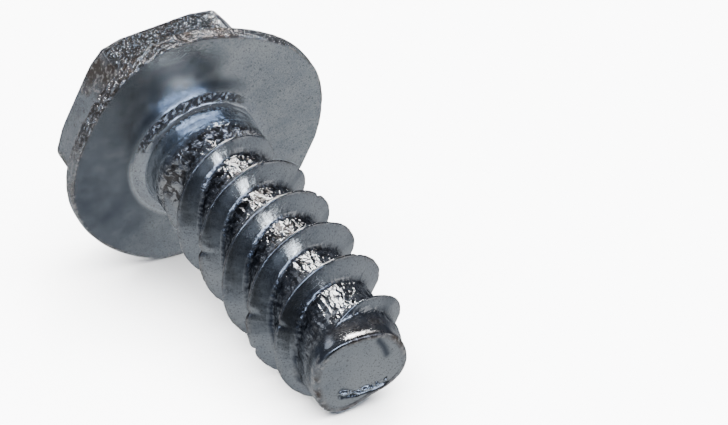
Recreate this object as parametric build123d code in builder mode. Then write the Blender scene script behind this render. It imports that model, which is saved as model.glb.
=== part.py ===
from build123d import *
import os
from math import cos, sin, pi, radians

# Thread rolling screw: indented hex washer head, twin-lead trilobular thread, blunt end.
# Lengths in mm. The screw is drawn along its own axis (bearing face at 0, head above, shank below),
# then laid down on its washer rim and its last threads.

# head
washer_r = 5.156           # mean radius of the washer
washer_rim = 0.68          # thickness at the rim
washer_edge = 0.10         # rounding of both rim edges
washer_cone_r = 4.05       # where the conical washer top meets the hexagon
washer_cone_z = 0.92
across_flats = 7.94        # 5/16 in
head_height = 3.08         # bearing face to the top of the hexagon
hex_phase = 51.0           # angle of a hexagon corner, degrees
corner_top_r = 4.18        # hexagon corners rounded off at the top
dish_r = 3.25              # indented top
dish_depth = 0.50
recess_span = 4.30         # cross recess, across the wings
recess_wing = 1.05
recess_depth = 1.85
recess_turn = 22.0

# the washer edge is slightly out of round, with two short straight stretches
washer_harmonics = [(0.028, -0.169), (-0.005, -0.014), (0.033, -0.019), (0.004, -0.078), (-0.040, 0.012)]
rest_flat = 4.925          # distance of the straight stretch the screw lies on, from the axis
rest_flat_angle = 90.0
side_flat = 5.02
side_flat_angle = 19.0

# shank
length = 12.50             # under the head
neck_r = 2.30              # plain neck
neck_len = 1.10
neck_fillet_r = 2.76       # foot of the fillet under the head
neck_fillet_h = 0.38
minor_r = 1.83
lobe = 0.115               # trilobular section: radius = minor_r + lobe * cos(3 a)
lobe_phase = 5.2
tip_r = 1.766              # mean radius of the blunt end, with its own uneven lobes
tip_harmonics = [(-0.145, 0.012), (0.098, 0.014), (0.079, -0.008), (-0.036, 0.072)]
tip_round = 0.14

# thread: two starts, right-handed
pitch = 1.815              # crest to crest, 14 per inch
starts = 2
lead = pitch * starts
crest_r = 2.62
crest_lobe = 0.085
crest_w = 0.10
base_w = 0.98
z_ref = -1.777             # height of one crest at angle_ref
angle_ref = 329.24
run_in = [(-0.75, 1.80), (-1.20, 2.08), (-1.80, 2.31), (-2.60, 2.50), (-3.60, crest_r),
          (-9.20, crest_r), (-10.10, 2.55), (-10.85, 2.38), (-11.45, 2.12), (-11.90, 1.80)]
steps_per_turn = 18

# pose: axis tilted, head high
tilt = 13.54


def between(table, z):
    for (z0, v0), (z1, v1) in zip(table, table[1:]):
        if z1 <= z <= z0:
            return v0 + (v1 - v0) * (z0 - z) / (z0 - z1)
    return table[0][1] if z > table[0][0] else table[-1][1]


def lobed(radius, amount, z, count=36):
    pts = []
    for i in range(count):
        a = 2 * pi * i / count
        r = radius + amount * cos(3 * (a - radians(lobe_phase)))
        pts.append((r * cos(a), r * sin(a)))
    return pts


def tip_outline(inset, count=36):
    pts = []
    for i in range(count):
        a = 2 * pi * i / count
        r = tip_r - inset
        for m, (c, s) in enumerate(tip_harmonics, start=1):
            r += c * cos(m * a) + s * sin(m * a)
        pts.append((r * cos(a), r * sin(a)))
    return pts


def washer_outline(shrink=0.0, count=72):
    pts = []
    for i in range(count):
        a = 2 * pi * i / count
        r = washer_r
        for m, (c, s) in enumerate(washer_harmonics, start=1):
            r += c * cos(m * a) + s * sin(m * a)
        for flat, where in ((rest_flat, rest_flat_angle), (side_flat, side_flat_angle)):
            d = cos(a - radians(where))
            if d > 0.6:
                r = min(r, flat / d)
        r -= shrink
        pts.append((r * cos(a), r * sin(a)))
    return pts


def thread_section(angle, start):
    """Plane and crest radius of one thread section."""
    z = z_ref + lead * (angle - angle_ref) / 360.0 - pitch * start
    r = between(run_in, z)
    full = max(0.0, min(1.0, (r - minor_r) / (crest_r - minor_r)))
    r += crest_lobe * full * cos(3 * radians(angle - lobe_phase))
    a = radians(angle)
    plane = Plane(origin=(0, 0, z), x_dir=(cos(a), sin(a), 0), z_dir=(-sin(a), cos(a), 0))
    return z, r, full, plane


with BuildPart() as blank:
    # washer with its rounded rim
    with BuildSketch(Plane.XY):
        with BuildLine():
            Polyline(*washer_outline(), close=True)
        make_face()
    extrude(amount=washer_rim)
    chamfer(blank.faces().sort_by(Axis.Z)[0].edges() + blank.faces().sort_by(Axis.Z)[-1].edges(), washer_edge)
    # conical washer top
    with BuildSketch(Plane.XZ):
        with BuildLine():
            Polyline((0, 0.1), (4.62, 0.1), (4.62, washer_rim), (washer_cone_r, washer_cone_z), (3.8, 1.20), (0, 1.20), close=True)
        make_face()
    revolve(axis=Axis.Z)
    # hexagon, its top corners rounded off
    with BuildPart(mode=Mode.PRIVATE) as hexagon:
        with BuildSketch(Plane.XY.offset(0.2)):
            RegularPolygon(radius=across_flats / 2, side_count=6, major_radius=False, rotation=hex_phase)
        extrude(amount=head_height - 0.2)
        fillet(hexagon.edges().filter_by(Axis.Z), 0.22)
        with BuildSketch(Plane.XZ):
            with BuildLine():
                Polyline((0, 0), (5.2, 0), (5.2, head_height - 0.95), (4.60, head_height - 0.44))
                ThreePointArc((4.60, head_height - 0.44), (4.45, head_height - 0.17), (corner_top_r, head_height))
                Polyline((corner_top_r, head_height), (0, head_height), (0, 0))
            make_face()
        revolve(axis=Axis.Z, mode=Mode.INTERSECT)
    add(hexagon.part)
    # indented top
    with BuildSketch(Plane.XZ):
        with BuildLine():
            Polyline((0, head_height + 0.3), (dish_r + 0.22, head_height + 0.3), (dish_r + 0.16, head_height),
                     (dish_r, head_height - 0.10), (dish_r - 0.12, head_height - dish_depth), (0, head_height - dish_depth), close=True)
        make_face()
    revolve(axis=Axis.Z, mode=Mode.SUBTRACT)
    # cross recess
    floor_z = head_height - dish_depth
    for k in range(2):
        turn = recess_turn + 90 * k
        with BuildSketch(Plane.XY.offset(floor_z + 0.05)):
            Rectangle(recess_span, recess_wing, rotation=turn)
        with BuildSketch(Plane.XY.offset(floor_z - recess_depth)):
            Rectangle(1.45, recess_wing * 0.72, rotation=turn)
        loft(mode=Mode.SUBTRACT)
    with BuildSketch(Plane.XZ):
        with BuildLine():
            Polyline((0, floor_z + 0.05), (1.02, floor_z + 0.05), (0.62, floor_z - recess_depth), (0, floor_z - recess_depth - 0.28), close=True)
        make_face()
    revolve(axis=Axis.Z, mode=Mode.SUBTRACT)

    # fillet and plain neck under the head
    with BuildSketch(Plane.XZ):
        with BuildLine():
            Polyline((0, 0.2), (neck_fillet_r, 0.2), (neck_fillet_r, 0.0))
            ThreePointArc((neck_fillet_r, 0.0), (neck_r + 0.13, -0.13), (neck_r, -neck_fillet_h))
            Polyline((neck_r, -neck_fillet_h), (neck_r - 0.02, -neck_len), (minor_r - 0.13, -neck_len - 0.85), (0, -neck_len - 0.85), (0, 0.2))
        make_face()
    revolve(axis=Axis.Z)
    # trilobular core
    with BuildSketch(Plane.XY.offset(0.2)):
        with BuildLine():
            Spline(*lobed(minor_r, lobe, 0), periodic=True)
        make_face()
    extrude(amount=-(0.2 + length - 0.95))
    # blunt end
    for top, bottom in (((length - 0.95, lobed(minor_r, lobe, 0)), (length - tip_round, tip_outline(0.0))),
                        ((length - tip_round, tip_outline(0.0)), (length - 0.05, tip_outline(0.045))),
                        ((length - 0.05, tip_outline(0.045)), (length, tip_outline(0.14)))):
        for depth, pts in (top, bottom):
            with BuildSketch(Plane.XY.offset(-depth)):
                with BuildLine():
                    Spline(*pts, periodic=True)
                make_face()
        loft()

    # the two threads, lofted through sections along each helix
    for start in range(starts):
        angle = angle_ref + 360.0 * ((-0.70 - z_ref) + pitch * start) / lead
        last = angle_ref + 360.0 * ((-11.95 - z_ref) + pitch * start) / lead
        count = int((angle - last) / 360.0 * steps_per_turn) + 1
        sections = []
        for i in range(count + 1):
            a = angle + (last - angle) * i / count
            z, r, full, plane = thread_section(a, start)
            inner = 1.30
            half_crest = 0.5 * (crest_w * (0.6 + 0.4 * full))
            half_base = max(0.16, 0.5 * base_w * (0.30 + 0.70 * full))
            slope = (half_base - half_crest) / max(0.05, r - minor_r + 0.10)
            half_inner = min(0.66, half_base + 0.10)
            pts = [(inner, -half_inner), (minor_r - 0.14, -half_base), (r, -half_crest),
                   (r, half_crest), (minor_r - 0.14, half_base), (inner, half_inner)]
            with BuildSketch(plane, mode=Mode.PRIVATE) as s:
                with BuildLine():
                    Polyline(*pts, close=True)
                make_face()
            sections.append(s.sketch.faces()[0])
        loft(sections=sections)

# laid down: the axis points towards +Y and up by the tilt, the washer and the last threads touch the table
lying = Plane(origin=(0, 0, 0), x_dir=(1, 0, 0), z_dir=(0, cos(radians(tilt)), sin(radians(tilt)))).location
laid = blank.part.moved(lying)
box = laid.bounding_box()
shift = Location((-(box.min.X + box.max.X) / 2, -(box.min.Y + box.max.Y) / 2, -box.min.Z))

with BuildPart() as screw:
    add(laid.moved(shift))

screw.part.label = "screw"
os.makedirs("parts", exist_ok=True)
export_step(screw.part, "parts/screw.step")
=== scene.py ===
import bpy
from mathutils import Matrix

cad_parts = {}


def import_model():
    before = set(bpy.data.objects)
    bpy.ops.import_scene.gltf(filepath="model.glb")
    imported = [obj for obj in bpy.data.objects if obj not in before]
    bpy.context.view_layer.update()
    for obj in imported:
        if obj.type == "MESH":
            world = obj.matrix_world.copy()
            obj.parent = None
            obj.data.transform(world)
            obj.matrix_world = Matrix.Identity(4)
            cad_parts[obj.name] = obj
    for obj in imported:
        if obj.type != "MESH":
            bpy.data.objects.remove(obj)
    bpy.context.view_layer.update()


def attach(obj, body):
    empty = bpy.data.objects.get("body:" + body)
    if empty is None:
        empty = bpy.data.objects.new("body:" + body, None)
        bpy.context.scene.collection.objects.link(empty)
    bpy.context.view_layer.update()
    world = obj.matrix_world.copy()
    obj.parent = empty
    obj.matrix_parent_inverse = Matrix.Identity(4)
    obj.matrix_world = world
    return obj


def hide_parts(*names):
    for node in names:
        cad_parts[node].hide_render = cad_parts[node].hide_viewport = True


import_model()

import bpy, bmesh, math
from math import cos, sin, pi, radians, sqrt, atan2
from mathutils import Vector, Matrix, noise

# ---------------------------------------------------------------- sizes, mm (screw axis along z, bearing face at 0, head above)
TILT = radians(13.54)
SHIFT = Vector((-0.03408, 4.27072, 4.76534))
AX = Vector((1, 0, 0))
AY = Vector((0, sin(TILT), -cos(TILT)))
AZ = Vector((0, cos(TILT), sin(TILT)))

PITCH, LEAD = 1.815, 3.63
Z_REF, A_REF = -1.777, 329.24
MINOR, LOBE, PH = 1.83, 0.115, 5.2
CREST, CLOBE = 2.62, 0.085
LENGTH = 12.50
NECK = 2.29
TIP = [1.766, (-0.145, 0.012), (0.098, 0.014), (0.079, -0.008), (-0.036, 0.072)]
RUN = [(-0.60, 1.55), (-1.00, 1.93), (-1.40, 2.17), (-1.80, 2.33), (-2.60, 2.51), (-3.60, CREST),
       (-9.20, CREST), (-10.10, 2.56), (-10.85, 2.38), (-11.45, 2.12), (-11.95, 1.70)]
HEAD_H, FLATS, HEX_PH = 3.08, 7.94, 51.0
DISH_R, DISH_D = 3.25, 0.50
WASHER = [5.156, (0.028, -0.169), (-0.005, -0.014), (0.033, -0.019), (0.004, -0.078), (-0.040, 0.012)]
FLAT1, FLAT1_A, FLAT2, FLAT2_A = 4.925, 90.0, 5.02, 19.0
TOP_R = 4.18


def world(x, y, z):
    return (AX * x + AY * y + AZ * z + SHIFT) * 0.001


def fbm(x, y, z, s, octaves=3, seed=0.0):
    v, a, t = 0.0, 1.0, 0.0
    for i in range(octaves):
        v += a * noise.noise(Vector((x * s + seed, y * s + 3.1 * seed, z * s - seed)))
        t += a
        a *= 0.5
        s *= 2.1
    return v / t


def sstep(a, b, x):
    t = max(0.0, min(1.0, (x - a) / (b - a)))
    return t * t * (3 - 2 * t)


def between(table, z):
    if z >= table[0][0]:
        return table[0][1]
    for (z0, v0), (z1, v1) in zip(table, table[1:]):
        if z >= z1:
            return v0 + (v1 - v0) * (z0 - z) / (z0 - z1)
    return table[-1][1]


def smax(a, b, k):
    h = max(0.0, min(1.0, 0.5 + 0.5 * (a - b) / k))
    return a * h + b * (1 - h) + k * h * (1 - h)


def adiff(a, b):
    return (a - b + 180.0) % 360.0 - 180.0


# ---------------------------------------------------------------- shank and thread: rows follow the helix
def harmonics(table, ang):
    a = radians(ang)
    r = table[0]
    for m, (c, q) in enumerate(table[1:], start=1):
        r += c * cos(m * a) + q * sin(m * a)
    return r


def body_r(ang, z):
    r = MINOR + LOBE * cos(3 * radians(ang - PH))
    if z > -2.0:                                   # plain round neck, flaring into the underside of the head
        t = sstep(-2.0, -1.15, z)
        r = r * (1 - t) + NECK * t
    if z < -11.5:
        t = sstep(11.5, 12.30, -z)
        r = r * (1 - t) + harmonics(TIP, ang) * t
    return r


NICKS = [  # angle, height, angular half width, depth, half height
    (318.0, -5.35, 3.0, 0.10, 0.10), (300.0, -8.95, 2.2, 0.08, 0.10), (182.0, -4.9, 3.0, 0.12, 0.12),
    (186.0, -8.5, 3.5, 0.12, 0.12), (205.0, -10.4, 2.5, 0.10, 0.10), (327.0, -3.5, 3.0, 0.09, 0.10),
    (265.0, -7.2, 2.0, 0.06, 0.08), (40.0, -6.0, 3.0, 0.10, 0.10), (110.0, -4.4, 4.0, 0.10, 0.10),
    (150.0, -9.2, 3.0, 0.12, 0.10), (72.0, -8.1, 3.0, 0.09, 0.10), (236.0, -5.6, 1.6, 0.05, 0.08)]


def shank_r(ang, z, crest_index):
    """Radius at an angle and height, with how far this point is root (1) or flank (0), how near a crest edge it is, how
    smooth, and how much painted shade it gets.
    """
    a = radians(ang)
    zc = Z_REF + LEAD * (ang - A_REF) / 360.0 - PITCH * crest_index
    rb = body_r(ang, z)
    x, y = cos(a) * 2.2, sin(a) * 2.2
    zc += 0.035 * fbm(x, y, zc, 0.55, 2, 4.0)
    w = z - zc
    rc = between(RUN, zc)
    full = max(0.0, min(1.0, (rc - MINOR) / (CREST - MINOR)))
    rc += CLOBE * full * cos(3 * radians(ang - PH)) + 0.045 * full * fbm(x, y, z, 0.9, 3, 1.0)
    rc += 0.022 * full * fbm(x, y, z, 5.0, 2, 8.0)
    half = 0.045 * (0.7 + 0.3 * full)
    d = max(0.0, abs(w) - half)
    rt = rc - d / 0.455
    if abs(w) < half + 0.03:
        rt -= 0.020 * (abs(w) / (half + 0.03)) ** 3
    r = smax(rt, rb, 0.09)
    depth = 1.0 - max(0.0, min(1.0, (r - rb) / 0.26))
    shaft = sstep(-0.30, -0.6, z) * sstep(-11.95, -11.4, z)
    deep = sstep(0.50, 0.88, depth)
    g = fbm(x, y, z * 0.8, 2.6, 3, 2.0)
    r += deep * shaft * (1 - 0.75 * sstep(-1.4, -1.1, z)) * (0.026 * g + 0.020 * fbm(x, y, z * 0.7, 5.0, 2, 6.0) + 0.032 * crease(x, y, z))
    r += (1 - depth) * 0.006 * fbm(x, y, z, 1.6, 2, 5.0)
    for na, nz, nw, nd, nh in NICKS:
        da = adiff(ang, na)
        if abs(da) < nw * 2 and abs(z - nz) < nh * 4 and r > rb + 0.3:
            r -= nd * math.exp(-(da / nw) ** 2) * (r - rb - 0.3) / 0.5
    edge = full * max(0.0, 1.0 - abs(w) / (half + 0.055))
    edge = max(edge, 0.75 * sstep(-11.5, -11.9, z) * (0.8 + 0.8 * fbm(x, y, z, 1.4, 2, 33.0)))
    # the plain neck is burnished, with torn bands where the rolling begins
    band = math.exp(-((z + 1.46 + 0.12 * fbm(x, y, 0.0, 1.2, 2, 3.0)) / 0.20) ** 2) + 0.45 * math.exp(-((z + 1.10 + 0.10 * fbm(x, y, 4.0, 1.6, 2, 3.0)) / 0.07) ** 2)
    calm = sstep(-1.75, -1.35, z)
    root = depth * ((1 - calm) + calm * min(1.0, 0.05 + band)) * sstep(-11.95, -11.4, z) * (0.60 + 0.40 * sstep(-10.0, -7.0, z))
    polish = max(sstep(-1.45, -1.20, z) * sstep(-0.05, -0.20, z), 0.10 * (1 - depth), sstep(-11.95, -12.15, z))
    root *= sstep(0.35, 0.75, depth)
    # painted shade: the deep roots are darkened except near the upper side, where the key light's highlight falls; the
    # flanks facing the tip are darkened near the root on the left side, across their middle on the other sides, and in
    # random patches
    painted_shade = -0.32 * sstep(0.6, 0.9, depth) * sstep(26.0, 48.0, abs(adiff(ang, 262.0)) + 14.0 * fbm(x, y, z, 1.2, 2, 97.0)) * sstep(-1.7, -2.3, z) * shaft
    if w < 0:
        way = abs(adiff(ang, 190.0))
        painted_shade -= 0.70 * math.exp(-((depth - 0.84) / 0.17) ** 2) * shaft * sstep(-1.6, -2.2, z) * sstep(66.0, 50.0, way)
        painted_shade -= 0.42 * sstep(0.10, 0.75, depth) * sstep(0.98, 0.80, depth) * sstep(70.0, 95.0, way)
        painted_shade -= 0.40 * sstep(0.05, 0.40, fbm(x, y, z, 0.8, 3, 91.0)) * (1 - sstep(0.7, 0.95, depth))
    return r, root, edge, polish, painted_shade


def crease(x, y, z):
    """Sharp little folds, like crushed foil."""
    v = noise.noise(Vector((x * 3.4, y * 3.4, z * 2.8 + 9.0)))
    u = noise.noise(Vector((x * 7.0 + 5.0, y * 7.0, z * 5.6)))
    return 0.6 - 2.2 * abs(v) - 1.1 * abs(u)


def segment(px, py, ax, ay, bx, by):
    dx, dy = bx - ax, by - ay
    t = max(0.0, min(1.0, ((px - ax) * dx + (py - ay) * dy) / (dx * dx + dy * dy)))
    return math.hypot(px - ax - t * dx, py - ay - t * dy)


def build_mesh(name, verts, faces, smooth=True, merge=1e-7, attrs=None):
    me = bpy.data.meshes.new(name)
    me.from_pydata([tuple(v) for v in verts], [], faces)
    for key, values in (attrs or {}).items():
        at = me.attributes.new(key, "FLOAT", "POINT")
        at.data.foreach_set("value", values)
    bm = bmesh.new()
    bm.from_mesh(me)
    bmesh.ops.remove_doubles(bm, verts=bm.verts, dist=merge)
    bmesh.ops.dissolve_degenerate(bm, edges=bm.edges, dist=merge)
    bmesh.ops.recalc_face_normals(bm, faces=bm.faces)
    bm.to_mesh(me)
    bm.free()
    for p in me.polygons:
        p.use_smooth = smooth
    me.update()
    o = bpy.data.objects.new(name, me)
    bpy.context.scene.collection.objects.link(o)
    return o


def make_shank():
    M = 340
    half = [0.0, 0.03, 0.055, 0.085, 0.13, 0.19, 0.26, 0.33, 0.395, 0.45, 0.505, 0.56, 0.615, 0.67, 0.73, 0.79, 0.85]
    offs = [-h for h in half[:0:-1]] + half + [PITCH / 2]       # from nearer the tip to nearer the head
    zlo, zhi = -(LENGTH - 0.20), 0.0
    verts, faces, rows = [], [], []
    root, edge, mottle_and_painted_light, polish = [], [], [], []
    for k in range(8, -4, -1):
        for w in offs:
            rows.append((k, w))
    idx = {}
    for j, (k, w) in enumerate(rows):
        for i in range(M + 1):
            ang = A_REF - 360.0 + 360.0 * i / M
            zc = Z_REF + LEAD * (ang - A_REF) / 360.0 - PITCH * k
            z = max(zlo, min(zhi, zc + w))
            if zlo < z < zhi:
                r, ro, ed, po, painted_shade = shank_r(ang, z, k)
            else:
                r, ro, ed, po, painted_shade = body_r(ang, z), 0.0, 0.8 if z < -1 else 0.0, 1.0 if z < -1 else 0.3, 0.0
            a = radians(ang)
            idx[(j, i)] = len(verts)
            verts.append(world(r * cos(a), r * sin(a), z))
            root.append(ro)
            edge.append(ed)
            # on the neck, a painted highlight over its upper side and painted shade around the rest, added to the
            # shank's painted shade
            mottle_and_painted_light.append(painted_shade + (1.30 * sstep(62.0, 32.0, abs(adiff(ang, 252.0))) - 0.30) * sstep(-1.40, -1.20, z) if z < 0.0 else 0.0)
            polish.append(po)
    for j in range(len(rows) - 1):
        for i in range(M):
            a, b, c, d = idx[(j, i)], idx[(j, i + 1)], idx[(j + 1, i + 1)], idx[(j + 1, i)]
            if (verts[a] - verts[d]).length < 1e-8 and (verts[b] - verts[c]).length < 1e-8:
                continue
            faces.append((a, b, c, d))
    # blunt end: tight rounded edge, a raised rim, then a slightly hollow face with a torn groove near its lower side
    insets = [(0.0, 0.20), (0.004, 0.15), (0.014, 0.105), (0.034, 0.065), (0.062, 0.034), (0.095, 0.014), (0.13, 0.003), (0.17, 0.0), (0.21, 0.004), (0.25, 0.014)]
    q = 0.29
    while q < 1.15:
        insets.append((q, 0.03))
        q += 0.042
    insets += [(1.25, 0.03), (1.4, 0.03), (1.55, 0.03), (1.68, 0.03)]
    prev = None
    for q, (inset, lift) in enumerate(insets):
        ring = []
        for i in range(M + 1):
            ang = A_REF - 360.0 + 360.0 * i / M
            a = radians(ang)
            r0 = harmonics(TIP, ang) if q else body_r(ang, zlo)
            r = r0 * (1 - inset / 1.766)
            z = -(LENGTH - lift)
            x, y = cos(a) * r, sin(a) * r
            dark, torn = 0.0, 0.0
            if q:
                near = min(1.0, inset / 0.1) * sstep(0.6, 0.2, inset)
                r += 0.022 * near * fbm(x, y, 0.0, 2.0, 3, 3.0)
                z += 0.012 * near * fbm(x, y, 7.0, 2.6, 3, 5.0) + 0.010 * fbm(x, y, 3.0, 1.2, 2, 9.0) * sstep(0.2, 0.4, inset)
                gy = 1.00 - 0.19 * x * x + 0.05 * fbm(x, 0.0, 0.0, 3.0, 2, 1.0)
                m = sstep(-0.95, -0.70, x) * sstep(1.15, 0.85, x)
                n1 = 0.5 + 0.9 * fbm(x, y, 2.0, 3.5, 2, 12.0)
                dg = (y - gy) / 0.085
                if abs(dg) < 4:
                    lump = max(0.15, 0.65 + 2.4 * fbm(x, y, 2.0, 4.2, 2, 12.0))
                    ridge = m * math.exp(-((y - gy + 0.06) / 0.10) ** 2) * min(1.3, lump)
                    trench = m * math.exp(-((y - gy - 0.13) / 0.06) ** 2)
                    z += 0.10 * trench - 0.14 * ridge
                    torn = min(1.0, ridge * 1.4)
                    dark = max(dark, 0.85 * trench * (1 - torn))
                ds = min(segment(x, y, 0.44, -1.20, 0.70, -0.80), segment(x, y, 0.70, -0.80, 0.86, -0.42))
                z += 0.030 * math.exp(-(ds / 0.11) ** 2)
                dark = max(dark, 0.95 * math.exp(-(ds / 0.13) ** 2))
                dp = min(math.hypot(x + 0.72, y - 0.80) / 0.16, math.hypot(x + 0.42, y - 0.98) / 0.14)
                z += 0.05 * math.exp(-dp * dp)
                dark = max(dark, math.exp(-dp * dp))
                z = max(z, -(LENGTH + 0.09))
                x, y = cos(a) * r, sin(a) * r
            ring.append(len(verts))
            verts.append(world(x, y, z))
            root.append(torn if q else 0.0)
            edge.append(min(1.0, 1.15 * max(0.0, 1.0 - abs(inset - 0.08) / 0.22)) * (1 - torn) if q else 0.5)
            # the torn ridge is lightened, bright torn metal with a painted highlight; the trench beside it is darkened
            # with painted shade; a streak and two spots are darker
            mottle_and_painted_light.append(1.0 * torn - dark * (1 - torn))
            polish.append(0.4 + 0.6 * torn)
        if prev:
            for i in range(M):
                faces.append((prev[i], prev[i + 1], ring[i + 1], ring[i]))
        prev = ring
    c = len(verts)
    verts.append(world(0, 0, -(LENGTH - 0.03)))
    root.append(0.0)
    edge.append(0.0)
    mottle_and_painted_light.append(0.0)
    polish.append(0.4)
    for i in range(M):
        faces.append((prev[i], prev[i + 1], c))
    return build_mesh("threaded_shank", verts, faces, merge=2e-7, attrs={"root": root, "edge": edge, "mottle_and_painted_light": mottle_and_painted_light, "polish": polish})


# ---------------------------------------------------------------- head: washer, hexagon, indented top, cross recess
def washer_radius(ang):
    r = harmonics(WASHER, ang)
    for flat, where in ((FLAT1, FLAT1_A), (FLAT2, FLAT2_A)):
        d = cos(radians(ang - where))
        if d > 0.6:
            r = min(r, flat / d)
    return r


def hex_radius(ang, soft=0.24):
    t = abs(adiff(ang, HEX_PH) % 60.0 - 30.0)          # 0 mid-flat, 30 at a corner
    t = radians(t)
    ap = FLATS / 2
    corner = ap / cos(radians(30.0))
    # rounded corner: circle of radius `soft` tangent to both flats
    cd = corner - soft / cos(radians(30.0))
    ta = atan2(ap * 1.0, 1e-9)
    yt = (ap - soft) * math.tan(radians(30.0))          # tangent point, along the flat from its middle
    if math.tan(t) * ap <= yt:
        return ap / cos(t)
    b = radians(30.0) - t                               # angle from the corner direction
    return cd * cos(b) + sqrt(max(0.0, soft * soft - (cd * sin(b)) ** 2))


def make_head():
    M = 480
    cols = [360.0 * i / M for i in range(M)]
    verts, faces, rings = [], [], []
    root, edge, mottle_and_painted_light = [], [], []

    def ring(fn, ed=0.0, ro=0.0):
        ids = []
        for ang in cols:
            v = fn(ang)
            r, z = v[0], v[1]
            a = radians(ang)
            ids.append(len(verts))
            verts.append(world(r * cos(a), r * sin(a), z))
            root.append(v[2] if len(v) > 2 else ro)
            edge.append(v[3] if len(v) > 3 else ed)
            mottle_and_painted_light.append(v[4] if len(v) > 4 else 0.0)
        rings.append(ids)

    def shade(ang, r):
        # painted reflections on the bearing face: painted shade, darker and bluer, over one side where the shank is
        # reflected, with a sharp right-hand border; a painted highlight patch in it where the shank's highlight is
        # reflected; a painted light ring next to the fillet; and painted shade beside the fillet and over a patch
        # further out on the upper side
        x, y = r * cos(radians(ang)), r * sin(radians(ang))
        n = fbm(x, y, 0.0, 0.55, 3, 21.0)
        e = adiff(ang, 268.0 + (4.91 - r) * 11.5) + 9.0 * n              # its right-hand border is quite sharp
        away = abs(adiff(ang, 168.0)) + 16.0 * n
        # painted shade for the reflected shank, darker and bluer over one side
        dark = 0.12 + 0.72 * sstep(100.0, 15.0, away) * sstep(20.0, -60.0, e)
        dark *= sstep(2.72, 3.0, r) * (1.0 + 0.35 * fbm(x, y, 3.0, 1.1, 3, 2.0))
        # a painted highlight patch, for the reflection of the shank's highlight
        sx, sy = 3.56 * cos(radians(252.0)), 3.56 * sin(radians(252.0))
        painted_highlight_patch = math.exp(-(((x - sx) / 0.42) ** 2 + ((y - sy) / 0.26) ** 2) * (1.0 + 0.8 * fbm(x, y, 5.0, 3.0, 2, 3.0)))
        # a painted light ring on the bearing face next to the fillet
        rim_light = 0.30 * sstep(2.95, 2.75, r) * sstep(150.0, 60.0, abs(adiff(ang, 190.0)))
        # painted shade beside the fillet on the upper side, and over a patch further out
        near = 0.86 * math.exp(-((r - 3.10) / 0.34) ** 2) * sstep(70.0, 40.0, abs(adiff(ang, 245.0)))
        near = max(near, 0.58 * math.exp(-((r - 4.15) / 0.60) ** 2) * sstep(34.0, 14.0, abs(adiff(ang, 257.0))))
        return -max(dark, near) * (1 - painted_highlight_patch) + 0.15 * painted_highlight_patch + rim_light

    # underside, from inside the neck outwards: first the fillet, its outer part torn on the upper side with random
    # light and dark flecks, its inner part lightened with a painted highlight that fades outwards
    ring(lambda ang: (1.2, -0.43))
    ring(lambda ang: (2.0, -0.43))
    for q in range(0, 15):
        t = q / 14.0

        def fn(ang, t=t):
            b = t * pi / 2
            r, z = 2.268 + 0.462 * (1 - cos(b)), -0.42 + 0.42 * sin(b)
            x, y = r * cos(radians(ang)), r * sin(radians(ang))
            up = sstep(62.0, 38.0, abs(adiff(ang, 252.0)) + 10.0 * fbm(x, y, 0.0, 1.5, 2, 8.0))
            torn = up * sstep(0.50, 0.68, t + 0.16 * fbm(x, y, z, 3.0, 2, 43.0)) * sstep(1.08, 0.97, t)
            r += 0.010 * fbm(x, y, z, 1.5, 2, 3.0) * t + 0.060 * torn * fbm(x, y, z, 5.0, 2, 13.0)
            return r, z - 0.035 * torn * fbm(x, y, z, 6.0, 2, 19.0), 1.3 * torn, 0.0, 0.35 * (1 - torn) * (1 - t) + torn * max(-0.7, min(0.8, 5.0 * fbm(x, y, z, 8.0, 2, 47.0)))
        ring(fn)
    n = 34
    for q in range(0, n + 1):
        t = q / n

        def fn(ang, t=t):
            ro = washer_radius(ang) - 0.09
            r = 2.745 + (ro - 2.745) * t
            x, y = r * cos(radians(ang)), r * sin(radians(ang))
            z = (0.012 * fbm(x, y, 0.0, 0.45, 2, 1.0) + 0.004 * fbm(x, y, 0.0, 2.2, 2, 9.0)) * sstep(2.75, 3.3, r) * sstep(5.3, 4.8, r)
            return r, z, 0.0, 0.5 * sstep(0.965, 1.0, t), shade(ang, r)
        ring(fn)

    def rim(ang, inset, z, ed):
        a = radians(ang)
        x, y = 5 * cos(a), 5 * sin(a)
        low = sstep(0.2, 0.7, abs(adiff(ang, 90.0)) / 60.0)      # stays true where it rests
        torn = sstep(44.0, 24.0, abs(adiff(ang, 230.0) + 8.0 * fbm(x, y, 0.0, 0.8, 2, 61.0)))
        top = sstep(75.0, 45.0, abs(adiff(ang, 265.0)))
        dent = 0.030 * fbm(x, y, z * 2.0, 0.9, 3, 2.0) + 0.024 * fbm(x, y, z * 3.0, 3.4, 2, 7.0)
        dent += torn * 0.085 * fbm(x, y, z * 1.3, 3.6, 2, 17.0) + 0.03 * top * fbm(x, y, z * 2.0, 2.2, 2, 27.0)
        r = washer_radius(ang) - inset + min(0.0, dent - 0.01 * torn) * low - 0.004 * low
        back = sstep(0.40, 0.60, z)
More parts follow.
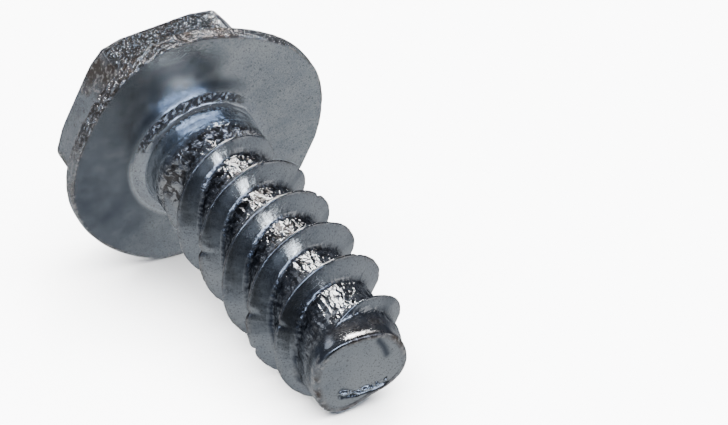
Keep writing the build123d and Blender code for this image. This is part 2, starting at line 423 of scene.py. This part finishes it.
        # the torn part gets random light and dark flecks; on the upper side a painted highlight stripe runs along the
        # rim's lower edge, and the rest of the upper side is darkened with painted shade
        flecks_and_painted_light = torn * max(-0.8, min(0.8, 4.5 * fbm(x, y, z * 1.5, 6.5, 2, 71.0)))
        painted_highlight_stripe = top * (1 - torn) * sstep(0.08, 0.0, abs(z - 0.06 - 0.04 * fbm(x, y, 0.0, 1.4, 2, 79.0)) - 0.02) * sstep(-0.08, 0.12, fbm(x, y, 0.0, 0.9, 2, 75.0))
        flecks_and_painted_light += 0.8 * painted_highlight_stripe - 0.75 * top * (1 - torn) * (1 - painted_highlight_stripe) * (0.8 + 0.6 * fbm(x, y, z * 2.0, 2.2, 3, 77.0))
        return (r, z + torn * 0.05 * fbm(x, y, 3.0, 3.4, 2, 23.0) * back, 0.12 + 0.62 * torn + 0.25 * top,
                min(1.0, ed * (0.65 + 0.55 * top) + 0.3 * fbm(x, y, z, 1.2, 2, 31.0)) * (1 - 0.6 * max(0.0, min(1.0, flecks_and_painted_light))), max(-0.85, min(0.8, flecks_and_painted_light)))
    for inset, z, ed in ((0.052, 0.010, 0.7), (0.022, 0.034, 0.9), (0.005, 0.068, 0.8), (0.0, 0.12, 0.6), (0.0, 0.18, 0.5), (0.0, 0.24, 0.5), (0.0, 0.30, 0.6), (0.001, 0.36, 0.7), (0.002, 0.42, 0.7),
                         (0.005, 0.48, 0.7), (0.010, 0.535, 0.8), (0.024, 0.585, 0.9), (0.055, 0.635, 0.9), (0.100, 0.668, 0.8), (0.160, 0.683, 0.5)):
        ring(lambda ang, inset=inset, z=z, ed=ed: rim(ang, inset, z, ed))
    slope = 0.26

    def cone_z(ang, r):
        return 0.683 + (washer_radius(ang) - 0.16 - r) * slope

    def foot(ang):
        return min(hex_radius(ang) + 0.10, washer_radius(ang) - 0.29)
    n = 10
    for q in range(1, n + 1):
        t = q / n

        def fn(ang, t=t):
            ro = washer_radius(ang) - 0.16
            ri = foot(ang) + 0.10
            r = ro + (ri - ro) * t
            x, y = r * cos(radians(ang)), r * sin(radians(ang))
            return r, cone_z(ang, r) + 0.012 * fbm(x, y, 2.0, 0.8, 2, 5.0)
        ring(fn, 0.1, 0.15)
    for q in range(1, 6):
        t = q / 5.0

        def fn(ang, t=t):
            r1, z1 = foot(ang) + 0.10, cone_z(ang, foot(ang) + 0.10)
            r2, z2 = hex_radius(ang) + 0.015, cone_z(ang, foot(ang)) + 0.16
            rm, zm = foot(ang) + 0.01, cone_z(ang, foot(ang)) + 0.02
            return ((1 - t) ** 2 * r1 + 2 * t * (1 - t) * rm + t * t * r2, (1 - t) ** 2 * z1 + 2 * t * (1 - t) * zm + t * t * z2)
        ring(fn, 0.0, 0.15)

    def drop(ang):
        return 0.07 + 0.37 * max(0.0, min(1.0, (hex_radius(ang) - 4.12) / 0.36))

    def side(ang, t):
        z0 = cone_z(ang, foot(ang)) + 0.16
        z1 = HEAD_H - drop(ang)
        z = z0 + (z1 - z0) * t
        a = radians(ang)
        r = hex_radius(ang) + 0.015 * (1 - t)
        x, y = r * cos(a), r * sin(a)
        r += 0.010 * fbm(x, y, z, 0.8, 2, 3.0)
        which = int(((ang - HEX_PH) % 360.0) // 60.0)
        e = (ang - HEX_PH) % 60.0
        ed = max(sstep(3.5, 0.5, e), sstep(56.5, 59.5, e)) * 0.8
        ro, sp = 0.0, 0.0
        if which in (3, 0):                             # sheared flats: torn, pitted metal
            m = sstep(0.2, 1.6, e) * sstep(59.0, 53.0, e + 2.0 * fbm(x, y, z, 2.0, 2, 45.0)) * sstep(0.0, 0.06, t)
            m *= sstep(1.10, 0.99, t + 0.05 * fbm(x, y, z, 2.0, 2, 41.0))
            r += m * (0.026 * fbm(x, y, z, 4.0, 3, 6.0) + 0.060 * fbm(x, y, z, 14.0, 2, 11.0) - 0.024)
            ro = m * 2.0
            sp = max(-0.9, min(1.0, -0.12 + 7.0 * fbm(x, y, z, 15.0, 2, 57.0)))
        film = 0.40 * sstep(0.25, -0.1, fbm(x, y, z, 0.7, 2, 51.0) + 0.25)
        if which == 2:
            film = max(0.4 * film, sstep(0.66, 0.73, e / 60.0 + 0.14 * fbm(x, y, z, 1.6, 3, 53.0) + 0.12 * (t - 0.5)))
        return r, z, ro, (ed + film) * (1 - min(1.0, ro)) + 0.75 * (ro > 0.3) * max(0.0, -sp + 0.15), max(-0.62, sp) * min(1.0, ro)
    n = 34
    for q in range(1, n + 1):
        ring(lambda ang, t=q / n: side(ang, t))

    def top_start(ang):
        return min(hex_radius(ang) - 0.07, TOP_R - 0.02)
    for q in range(1, 9):
        t = q / 8.0

        def fn(ang, t=t):
            v = side(ang, 1.0)
            r0, z0 = v[0], v[1]
            return r0 - (r0 - top_start(ang)) * (1 - cos(t * pi / 2)), z0 + (HEAD_H - z0) * sin(t * pi / 2), 0.15, 0.5, 0.0
        ring(fn)
    for q in range(1, 6):
        t = q / 5.0
        ring(lambda ang, t=t: (top_start(ang) + (DISH_R + 0.14 - top_start(ang)) * t, HEAD_H + 0.006 * fbm(cos(radians(ang)) * 4, sin(radians(ang)) * 4, t, 1.0, 2, 4.0)), 0.1)
    for r0, dz in ((0.09, 0.008), (0.05, 0.03), (0.015, 0.07), (-0.01, 0.14), (-0.035, 0.24), (-0.06, 0.34), (-0.10, 0.42), (-0.16, 0.475), (-0.25, 0.50)):
        ring(lambda ang, r0=r0, dz=dz: (DISH_R + r0 + 0.012 * fbm(cos(radians(ang)) * 3, sin(radians(ang)) * 3, 0, 1.3, 2, 4.0), HEAD_H - dz), 0.0, 0.2)
    for r0 in (2.85, 2.65, 2.4, 2.15, 1.9, 1.65, 1.4, 1.15, 0.9, 0.6, 0.3):
        ring(lambda ang, r0=r0: (r0, HEAD_H - DISH_D + 0.010 * fbm(r0 * cos(radians(ang)), r0 * sin(radians(ang)), 0, 0.9, 2, 4.0)))
    for a, b in zip(rings, rings[1:]):
        for i in range(M):
            j = (i + 1) % M
            faces.append((a[i], a[j], b[j], b[i]))
    faces.append(tuple(reversed(rings[0])))
    c = len(verts)
    verts.append(world(0, 0, HEAD_H - DISH_D))
    root.append(0.0)
    edge.append(0.0)
    mottle_and_painted_light.append(0.0)
    for i in range(M):
        faces.append((rings[-1][i], rings[-1][(i + 1) % M], c))
    head = build_mesh("hex_washer_head", verts, faces, merge=1e-8, attrs={"root": root, "edge": edge, "mottle_and_painted_light": mottle_and_painted_light, "polish": [0.35] * len(verts)})

    # cross recess cutter: a tapered twelve-sided cross ending in a point
    turn = radians(22.0)
    fz = HEAD_H - DISH_D

    def cross(half, wing, inner):
        pts = []
        for k in range(4):
            a = turn + k * pi / 2
            ca, sa = cos(a), sin(a)
            for u, v in ((half * 0.97, -wing * 0.86), (half, -wing * 0.45), (half, wing * 0.45), (half * 0.97, wing * 0.86), (inner + 0.16, wing), (inner, inner)):
                pts.append((u * ca - v * sa, u * sa + v * ca))
        return pts
    levels = [(fz + 0.5, 2.30, 0.545, 0.66), (fz + 0.03, 2.12, 0.53, 0.64), (fz - 0.07, 2.03, 0.51, 0.60), (fz - 1.0, 1.35, 0.44, 0.52), (fz - 1.85, 0.72, 0.36, 0.40)]
    cv, cf, pr = [], [], None
    for z, h, w, inn in levels:
        ids = []
        for x, y in cross(h, w, inn):
            ids.append(len(cv))
            cv.append(world(x, y, z))
        if pr:
            for i in range(len(ids)):
                j = (i + 1) % len(ids)
                cf.append((pr[i], pr[j], ids[j], ids[i]))
        else:
            cf.append(tuple(ids))
        pr = ids
    c = len(cv)
    cv.append(world(0, 0, fz - 2.08))
    for i in range(len(pr)):
        cf.append((pr[i], pr[(i + 1) % len(pr)], c))
    cutter = build_mesh("recess_cutter", cv, cf, smooth=False, merge=1e-8)
    mod = head.modifiers.new("recess", "BOOLEAN")
    mod.operation = "DIFFERENCE"
    mod.solver = "EXACT"
    mod.object = cutter
    bpy.context.view_layer.update()
    dg = bpy.context.evaluated_depsgraph_get()
    new = bpy.data.meshes.new_from_object(head.evaluated_get(dg))
    head.modifiers.clear()
    old = head.data
    head.data = new
    bpy.data.meshes.remove(old)
    bpy.data.objects.remove(cutter)
    bm = bmesh.new()
    bm.from_mesh(new)
    for e in bm.edges:
        if len(e.link_faces) == 2 and e.calc_face_angle(0.0) > radians(38):
            e.smooth = False
    for f in bm.faces:
        f.smooth = True
    bm.to_mesh(new)
    bm.free()
    return head


shank = make_shank()
head = make_head()
for o in (shank, head):
    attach(o, "root")
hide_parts("screw")
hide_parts("screw")


# ---------------------------------------------------------------- material
class Nodes:
    def __init__(self, name):
        self.mat = bpy.data.materials.new(name)
        self.mat.use_nodes = True
        self.t = self.mat.node_tree
        self.t.nodes.clear()

    def n(self, kind, **kw):
        x = self.t.nodes.new(kind)
        for k, v in kw.items():
            if k.startswith("i_"):
                x.inputs[k[2:].replace("_", " ")].default_value = v
            else:
                setattr(x, k, v)
        return x

    def l(self, a, ao, b, bi):
        self.t.links.new(a.outputs[ao], b.inputs[bi])

    def noise(self, co, scale, detail=4.0, rough=0.55, dist=0.0):
        x = self.n("ShaderNodeTexNoise")
        x.inputs["Scale"].default_value = scale
        x.inputs["Detail"].default_value = detail
        x.inputs["Roughness"].default_value = rough
        x.inputs["Distortion"].default_value = dist
        self.l(co, "Object", x, "Vector")
        return x

    def ramp(self, src, out, lo, hi, a=0.0, b=1.0):
        m = self.n("ShaderNodeMapRange", clamp=True)
        m.inputs["From Min"].default_value = lo
        m.inputs["From Max"].default_value = hi
        m.inputs["To Min"].default_value = a
        m.inputs["To Max"].default_value = b
        self.l(src, out, m, "Value")
        return m

    def math(self, op, a, b=None):
        m = self.n("ShaderNodeMath", operation=op)
        for i, s in enumerate((a, b)):
            if s is None:
                continue
            if isinstance(s, (int, float)):
                m.inputs[i].default_value = s
            else:
                self.t.links.new(s.outputs[0], m.inputs[i])
        return m

    def mix(self, fac, a, b):
        m = self.n("ShaderNodeMix", data_type="RGBA")
        if isinstance(fac, (int, float)):
            m.inputs["Factor"].default_value = fac
        else:
            self.t.links.new(fac.outputs[0], m.inputs["Factor"])
        for s, k in ((a, 6), (b, 7)):
            if isinstance(s, tuple):
                m.inputs[k].default_value = s
            else:
                self.t.links.new(s.outputs[2] if s.bl_idname == "ShaderNodeMix" else s.outputs[0], m.inputs[k])
        return m


def zinc(name, crumple_scale, crumple_bump, torn, metal=1.0):
    N = Nodes(name)
    co = N.n("ShaderNodeTexCoord")
    root = N.n("ShaderNodeAttribute", attribute_name="root")
    edge = N.n("ShaderNodeAttribute", attribute_name="edge")
    mottle_and_painted_light = N.n("ShaderNodeAttribute", attribute_name="mottle_and_painted_light")
    polish = N.n("ShaderNodeAttribute", attribute_name="polish")
    big = N.noise(co, 420.0, 3.0, 0.5)
    mid = N.noise(co, 1500.0, 5.0, 0.6)
    fine = N.noise(co, 14000.0, 3.0, 0.6)
    spots = N.noise(co, 5200.0, 3.0, 0.55)
    specks = N.noise(co, 17000.0, 2.0, 0.5, 0.4)
    foil = N.noise(co, crumple_scale, 2.0, 0.5, 0.8)
    foil2 = N.noise(co, crumple_scale * 3.1, 3.0, 0.6, 0.6)
    stain = N.noise(co, 900.0, 4.0, 0.6)

    def fac(node):                        # an attribute's plain value
        m = N.n("ShaderNodeMath", operation="ADD", use_clamp=True)
        N.l(node, "Fac", m, 0)
        m.inputs[1].default_value = 0.0
        return m
    rootf, edgef = fac(root), fac(edge)
    # plating: bluish grey, clouded lighter and darker
    col = N.mix(N.ramp(big, 0, 0.35, 0.68), (0.43, 0.465, 0.505, 1), (0.60, 0.625, 0.645, 1))
    col = N.mix(N.ramp(mid, 0, 0.36, 0.66, 0.0, 0.5), col, (0.63, 0.655, 0.67, 1))
    col = N.mix(N.ramp(spots, 0, 0.64, 0.72, 0.0, 0.50), col, (0.20, 0.20, 0.21, 1))
    col = N.mix(N.ramp(specks, 0, 0.58, 0.66, 0.0, 0.62), col, (0.20, 0.205, 0.21, 1))
    col = N.mix(N.ramp(specks, 0, 0.40, 0.30, 0.0, 0.30), col, (0.78, 0.80, 0.83, 1))
    # rolled roots are brighter metal with dark residue in their folds
    col = N.mix(N.math("MULTIPLY", rootf, 0.8), col, torn)
    res = N.math("MULTIPLY", N.ramp(foil, 0, 0.545, 0.43), rootf)
    col = N.mix(N.math("MULTIPLY", res, 0.88), col, (0.060, 0.048, 0.042, 1))
    # dark and bright areas from the attribute: random mottling and torn metal, together with painted shade and painted
    # highlights laid on the bearing face, fillet, rim, neck, roots, flanks and tip
    dk = N.n("ShaderNodeMath", operation="MULTIPLY", use_clamp=True)
    N.l(mottle_and_painted_light, "Fac", dk, 0)
    dk.inputs[1].default_value = -1.0
    lt = N.n("ShaderNodeMath", operation="MULTIPLY", use_clamp=True)
    N.l(mottle_and_painted_light, "Fac", lt, 0)
    lt.inputs[1].default_value = 1.0
    col = N.mix(dk, col, (0.115, 0.135, 0.168, 1))
    col = N.mix(lt, col, (0.86, 0.93, 1.0, 1))
    # brownish film and wear along edges
    film = N.math("MULTIPLY", N.ramp(stain, 0, 0.36, 0.60), edgef)
    col = N.mix(N.math("MULTIPLY", film, 0.85), col, (0.18, 0.135, 0.105, 1))
    glint = N.math("MULTIPLY", N.ramp(spots, 0, 0.52, 0.60), edgef)
    col = N.mix(N.math("MULTIPLY", glint, 0.7), col, (0.85, 0.82, 0.80, 1))
    rough = N.math("SUBTRACT", N.ramp(mid, 0, 0.30, 0.70, 0.18, 0.29), N.math("MULTIPLY", fac(polish), 0.12))
    rough = N.math("ADD", rough, N.math("MULTIPLY", film, 0.14))
    rmix = N.n("ShaderNodeMapRange", clamp=True)
    N.l(rootf, 0, rmix, "Value")
    N.l(rough, 0, rmix, "To Min")
    rmix.inputs["To Max"].default_value = 0.13
    b = N.n("ShaderNodeBsdfPrincipled")
    b.inputs["Metallic"].default_value = metal
    N.l(col, 2, b, "Base Color")
    N.l(rmix, 0, b, "Roughness")
    # crumpled relief in the roots and on torn metal, a fine satin grain elsewhere
    sA = N.math("MULTIPLY", root, 1.0)
    sA.inputs[0].default_value = 1.0
    N.t.links.new(root.outputs["Fac"], sA.inputs[0])
    h = N.math("MULTIPLY", foil, sA)
    h2 = N.math("MULTIPLY", N.math("MULTIPLY", foil2, 0.30), sA)
    hh = N.math("ADD", h, h2)
    b1 = N.n("ShaderNodeBump")
    b1.inputs["Strength"].default_value = 1.0
    b1.inputs["Distance"].default_value = crumple_bump
    N.l(hh, 0, b1, "Height")
    b2 = N.n("ShaderNodeBump")
    b2.inputs["Strength"].default_value = 0.5
    b2.inputs["Distance"].default_value = 0.000030
    N.l(mid, 0, b2, "Height")
    N.l(b1, "Normal", b2, "Normal")
    b3 = N.n("ShaderNodeBump")
    b3.inputs["Strength"].default_value = 0.45
    b3.inputs["Distance"].default_value = 0.000008
    N.l(fine, 0, b3, "Height")
    N.l(b2, "Normal", b3, "Normal")
    N.l(b3, "Normal", b, "Normal")
    out = N.n("ShaderNodeOutputMaterial")
    N.l(b, 0, out, "Surface")
    return N.mat


shank.data.materials.clear()
head.data.materials.clear()
shank.data.materials.append(zinc("zinc_rolled", 4200.0, 0.00006, (0.80, 0.79, 0.78, 1)))
head.data.materials.append(zinc("zinc_headed", 8600.0, 0.00011, (0.27, 0.255, 0.245, 1), 0.982))

# ---------------------------------------------------------------- floor, world, lights, camera
bm = bmesh.new()
bmesh.ops.create_grid(bm, x_segments=2, y_segments=2, size=1.5)
me = bpy.data.meshes.new("floor")
bm.to_mesh(me)
bm.free()
floor = bpy.data.objects.new("floor", me)
bpy.context.scene.collection.objects.link(floor)
floor.location = (0, 0, -0.00001)
F = Nodes("floor_pale")
fd = F.n("ShaderNodeBsdfDiffuse")
fd.inputs["Color"].default_value = (0.90, 0.90, 0.90, 1)
fo = F.n("ShaderNodeOutputMaterial")
F.l(fd, 0, fo, "Surface")
me.materials.append(F.mat)
floor.visible_glossy = False

w = bpy.data.worlds.new("studio")
bpy.context.scene.world = w
w.use_nodes = True
wt = w.node_tree
wt.nodes.clear()


def wn(kind):
    return wt.nodes.new(kind)


wo = wn("ShaderNodeOutputWorld")
bg_b = wn("ShaderNodeBackground")
tc = wn("ShaderNodeTexCoord")
sx = wn("ShaderNodeSeparateXYZ")
cr = wn("ShaderNodeValToRGB")
mr = wn("ShaderNodeMapRange")
mr.inputs["From Min"].default_value = -1.0
mr.inputs["From Max"].default_value = 1.0
wt.links.new(tc.outputs["Generated"], sx.inputs[0])
wt.links.new(sx.outputs["Z"], mr.inputs["Value"])
wt.links.new(mr.outputs[0], cr.inputs[0])
e = cr.color_ramp.elements
e[0].position, e[0].color = 0.0, (0.36, 0.38, 0.41, 1)
e[1].position, e[1].color = 1.0, (0.06, 0.065, 0.08, 1)
for p, c in ((0.12, (0.44, 0.46, 0.48, 1)), (0.24, (0.38, 0.40, 0.43, 1)), (0.32, (0.33, 0.35, 0.38, 1)), (0.42, (0.27, 0.29, 0.32, 1)), (0.48, (0.075, 0.085, 0.11, 1)), (0.56, (0.055, 0.064, 0.085, 1)), (0.80, (0.05, 0.058, 0.075, 1))):
    x = e.new(p)
    x.color = c
# a dark screen in front of the table
vn = wn("ShaderNodeVectorMath")
vn.operation = "DOT_PRODUCT"
vn.inputs[1].default_value = Vector((0.034, -0.984, -0.17)).normalized()
wt.links.new(tc.outputs["Generated"], vn.inputs[0])
dm = wn("ShaderNodeMapRange")
dm.inputs["From Min"].default_value = 0.84
dm.inputs["From Max"].default_value = 0.95
dm.inputs["To Min"].default_value = 1.0
dm.inputs["To Max"].default_value = 0.14
wt.links.new(vn.outputs["Value"], dm.inputs["Value"])
sc = wn("ShaderNodeVectorMath")
sc.operation = "SCALE"
wt.links.new(cr.outputs[0], sc.inputs[0])
wt.links.new(dm.outputs[0], sc.inputs["Scale"])
bg_b.inputs["Strength"].default_value = 1.0
# a dim wall behind the viewer's side of the table
vw = wn("ShaderNodeVectorMath")
vw.operation = "DOT_PRODUCT"
vw.inputs[1].default_value = Vector((-0.62, -0.66, 0.42)).normalized()
wt.links.new(tc.outputs["Generated"], vw.inputs[0])
wm = wn("ShaderNodeMapRange")
wm.inputs["From Min"].default_value = 0.93
wm.inputs["From Max"].default_value = 0.985
wt.links.new(vw.outputs["Value"], wm.inputs["Value"])
wall = wn("ShaderNodeVectorMath")
wall.operation = "SCALE"
wall.inputs[0].default_value = (0.15, 0.175, 0.22)
wt.links.new(wm.outputs[0], wall.inputs["Scale"])
both = wn("ShaderNodeVectorMath")
both.operation = "ADD"
wt.links.new(sc.outputs[0], both.inputs[0])
wt.links.new(wall.outputs[0], both.inputs[1])
wt.links.new(both.outputs[0], bg_b.inputs["Color"])
wt.links.new(bg_b.outputs[0], wo.inputs[0])

CENTRE = Vector((0.0, 0.0, 0.005))


def softbox(name, direction, dist, size, power, size_y=None, color=(1, 1, 1)):
    d = bpy.data.lights.new(name, "AREA")
    d.shape = "RECTANGLE"
    d.size = size
    d.size_y = size_y or size
    d.energy = power
    d.color = color
    o = bpy.data.objects.new(name, d)
    bpy.context.scene.collection.objects.link(o)
    v = Vector(direction).normalized()
    o.location = CENTRE + v * dist
    o.rotation_euler = v.to_track_quat("Z", "Y").to_euler()
    return o


softbox("key", (0.36, 0.28, 0.89), 0.30, 0.07, 0.60)
softbox("sky", (0.03, 0.61, 0.79), 0.32, 0.43, 0.13, 0.16, (0.80, 0.87, 1.0))
softbox("front_window", (0.076, -0.866, 0.494), 0.30, 0.36, 0.32, 0.062, (0.64, 0.76, 1.0))
softbox("side_right", (0.90, -0.38, 0.05), 0.30, 0.12, 0.03, 0.12)
softbox("side_left", (-0.76, 0.65, 0.06), 0.30, 0.16, 0.008, 0.12)

# a broad, high fill for the table, kept out of the metal's reflections
fill = softbox("table_fill", (0.0, 0.0, 1.0), 0.70, 1.3, 110.0)
fill.visible_glossy = False

cd = bpy.data.cameras.new("camera")
cam = bpy.data.objects.new("camera", cd)
bpy.context.scene.collection.objects.link(cam)
bpy.context.scene.camera = cam
cd.sensor_width = 36.0
cd.lens = 108.82
cd.clip_start = 0.001
cd.clip_end = 10.0
right = Vector((0.8633, -0.5047, 0.0)).normalized()
fwd = Vector((0.44502, 0.76128, -0.47160)).normalized()
up = right.cross(fwd).normalized()
right = fwd.cross(up)
pos = (Vector((-31.671, -66.334, 36.667)) + SHIFT) * 0.001
cam.matrix_world = Matrix(((right.x, up.x, -fwd.x, pos.x), (right.y, up.y, -fwd.y, pos.y), (right.z, up.z, -fwd.z, pos.z), (0, 0, 0, 1)))

bpy.context.view_layer.update()
